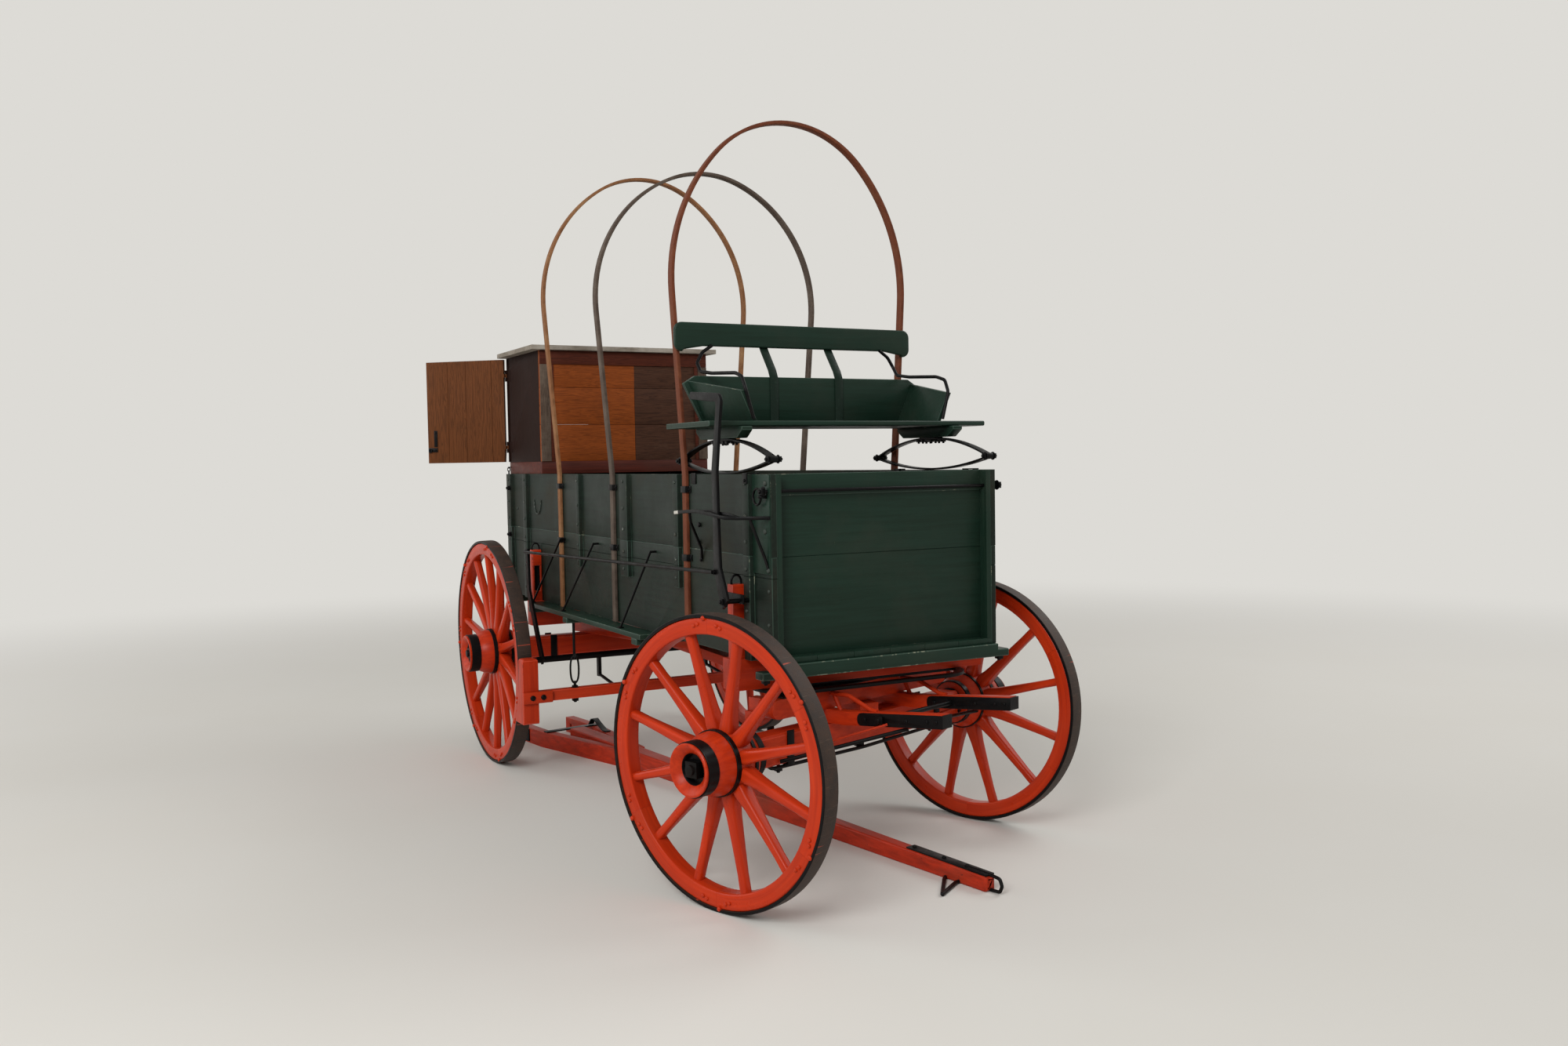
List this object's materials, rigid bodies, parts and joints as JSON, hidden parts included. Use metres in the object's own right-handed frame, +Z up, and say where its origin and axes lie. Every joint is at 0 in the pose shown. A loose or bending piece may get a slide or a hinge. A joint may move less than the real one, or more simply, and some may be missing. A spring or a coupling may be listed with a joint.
{
  "type": "covered wagon",
  "caption": "Horse-drawn wagon with wooden wheels, a steered front axle, a deep box, bare cover hoops, a sprung driver's seat, a side brake and a cupboard at the tail.",
  "frame": {"origin": "on the floor, at the middle of the outline seen from above", "axes": "+X points forward, +Y to the wagon's left, +Z up; the wagon stands on z = 0"},
  "size_m": [4.009, 1.826, 2.997],
  "materials": {
    "green_paint": "painted, satin, worn",
    "red_paint": "painted, matt, worn",
    "bow_wood": "stained, matt",
    "bare_wood": "bare boards, weathered",
    "dark_wood": "oiled, dark",
    "tyre_iron": "worn, brown",
    "black_iron": "satin black",
    "tongue_paint": "painted, worn"
  },
  "bodies": {
    "wagon": {"backrest": "green_paint", "bolster_ring": "black_iron", "bow_front": "bow_wood", "bow_middle": "bow_wood", "bow_rear": "bow_wood", "box_floor": "bare_wood", "box_irons": "black_iron", "box_sills": "green_paint", "brake_beam": "red_paint", "brake_blocks": "red_paint", "brake_lever": "black_iron", "brake_ratchet": "black_iron", "brake_rod": "black_iron", "brake_shaft": "black_iron", "chuck_base": "dark_wood", "chuck_carcass": "dark_wood", "chuck_front": "bare_wood", "chuck_lid": "bare_wood", "corner_posts": "green_paint", "front_bolster": "red_paint", "front_end": "green_paint", "kingpin": "black_iron", "lower_side_left": "green_paint", "lower_side_right": "green_paint", "reach": "red_paint", "rear_axle": "red_paint", "rear_axle_arms": "black_iron", "rear_bolster": "red_paint", "rear_hounds": "red_paint", "seat_board": "green_paint", "seat_irons": "black_iron", "seat_panels": "green_paint", "seat_risers": "green_paint", "seat_springs": "black_iron", "side_planks": "green_paint", "tail_end": "green_paint", "tongue_fork": "tongue_paint", "tongue_irons": "black_iron", "tongue_pole": "tongue_paint", "upper_side_left": "green_paint", "upper_side_right": "green_paint"},
    "front_gear": {"front_axle": "red_paint", "sand_bolster": "red_paint", "front_hounds": "red_paint", "front_gear_irons": "black_iron", "front_axle_arms": "black_iron", "tongue_pin": "black_iron"},
    "front_right_wheel": {"wheel_front_right": "red_paint", "tyre_front_right": "tyre_iron"},
    "front_left_wheel": {"wheel_front_left": "red_paint", "tyre_front_left": "tyre_iron"},
    "rear_right_wheel": {"wheel_rear_right": "red_paint", "tyre_rear_right": "tyre_iron"},
    "rear_left_wheel": {"wheel_rear_left": "red_paint", "tyre_rear_left": "tyre_iron"},
    "cupboard_door_right": {"chuck_door_right": "dark_wood"},
    "cupboard_door_left": {"chuck_door_left": "dark_wood"}
  },
  "joints": [
    {"name": "steering", "type": "hinge", "parent": "wagon", "child": "front_gear", "pos_m": [1.2635, 0, 0.51574], "axis": [0, 0, 1], "range_deg": [-40, 2]},
    {"name": "front_right_wheel_spin", "type": "hinge", "parent": "front_gear", "child": "front_right_wheel", "pos_m": [1.5093, -0.71387, 0.5126], "axis": [0.3255, -0.9453, -0.0209], "continuous": true},
    {"name": "front_left_wheel_spin", "type": "hinge", "parent": "front_gear", "child": "front_left_wheel", "pos_m": [1.0177, 0.71387, 0.5126], "axis": [-0.3255, 0.9453, -0.0209], "continuous": true},
    {"name": "rear_right_wheel_spin", "type": "hinge", "parent": "wagon", "child": "rear_right_wheel", "pos_m": [-1.1365, -0.755, 0.57559], "axis": [0, -0.9998, -0.0209], "continuous": true},
    {"name": "rear_left_wheel_spin", "type": "hinge", "parent": "wagon", "child": "rear_left_wheel", "pos_m": [-1.1365, 0.755, 0.57559], "axis": [0, 0.9998, -0.0209], "continuous": true},
    {"name": "cupboard_door_right", "type": "hinge", "parent": "wagon", "child": "cupboard_door_right", "pos_m": [-1.679, -0.487, 1.84], "axis": [0, 0, 1], "range_deg": [-137.5, 35]},
    {"name": "cupboard_door_left", "type": "hinge", "parent": "wagon", "child": "cupboard_door_left", "pos_m": [-1.679, 0.487, 1.84], "axis": [0, 0, 1], "range_deg": [-172.5, 0]}
  ]
}
